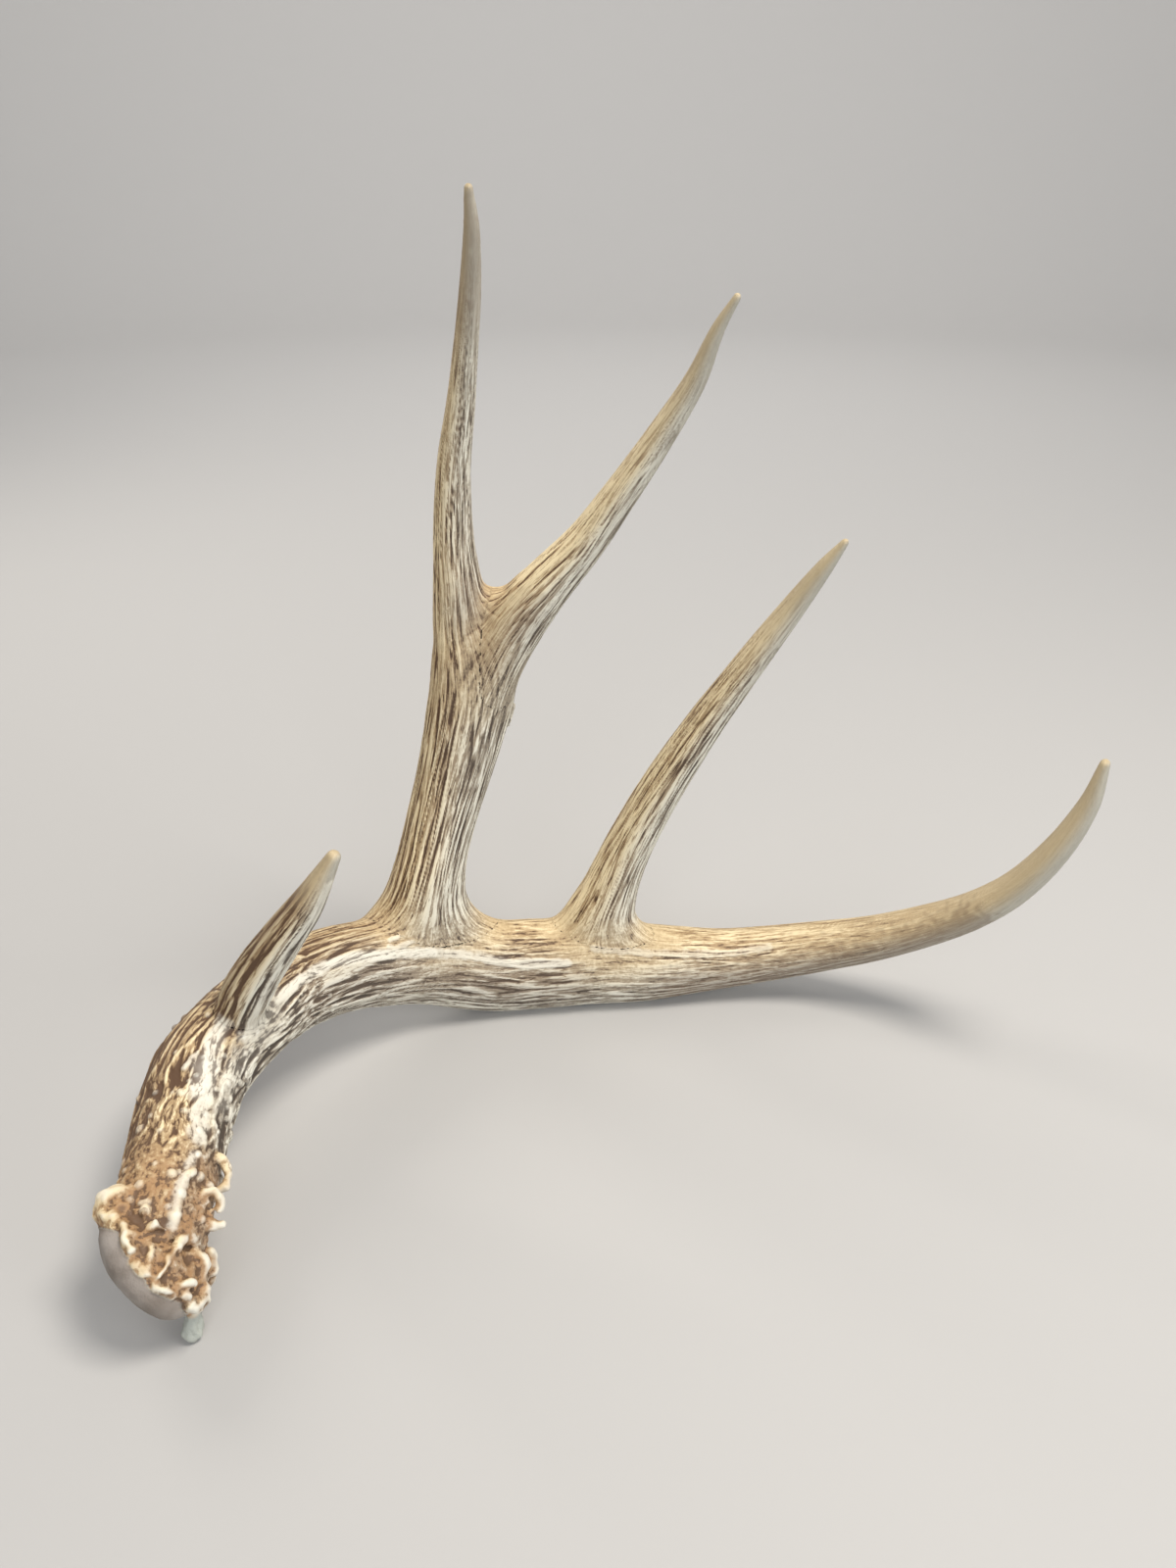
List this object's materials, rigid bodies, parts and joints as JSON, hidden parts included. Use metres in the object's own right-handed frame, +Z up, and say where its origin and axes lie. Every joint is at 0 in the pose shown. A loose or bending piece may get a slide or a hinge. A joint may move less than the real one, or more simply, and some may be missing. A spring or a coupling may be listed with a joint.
{
  "type": "deer antler",
  "caption": "Shed deer antler with a knobbly burr, a long curved main beam, a brow tine, a forked rear branch and a curved front tine, standing on its burr and beam.",
  "frame": {"origin": "under the middle of the whole antler's box, on the surface it stands on", "axes": "+X along the fan of tines, from the burr towards the end of the beam; +Y through the fan, from the burr's side to the belly's side; +Z up"},
  "size_m": [0.358, 0.211, 0.3364],
  "materials": {
    "burr_and_lower_beam": "weathered brown antler bone with polished cream knobs",
    "brow_tine": "brown-streaked antler bone, smooth at the tip",
    "rear_stem": "ridged brown antler bone with cream ridges",
    "rear_upright_tine": "smooth ivory antler bone with fine grain",
    "rear_slanted_tine": "tan antler bone with fine grain, ivory at the tip",
    "middle_beam": "brown antler bone with a cream ridge along it",
    "front_tine": "tan antler bone with brown streaks, ivory at the tip",
    "beam_end": "smooth pale antler bone, streaked towards the fork"
  },
  "bodies": {
    "root": {"burr_and_lower_beam": "burr_and_lower_beam", "brow_tine": "brow_tine", "rear_stem": "rear_stem", "rear_upright_tine": "rear_upright_tine", "rear_slanted_tine": "rear_slanted_tine", "middle_beam": "middle_beam", "front_tine": "front_tine", "beam_end": "beam_end"}
  },
  "joints": []
}
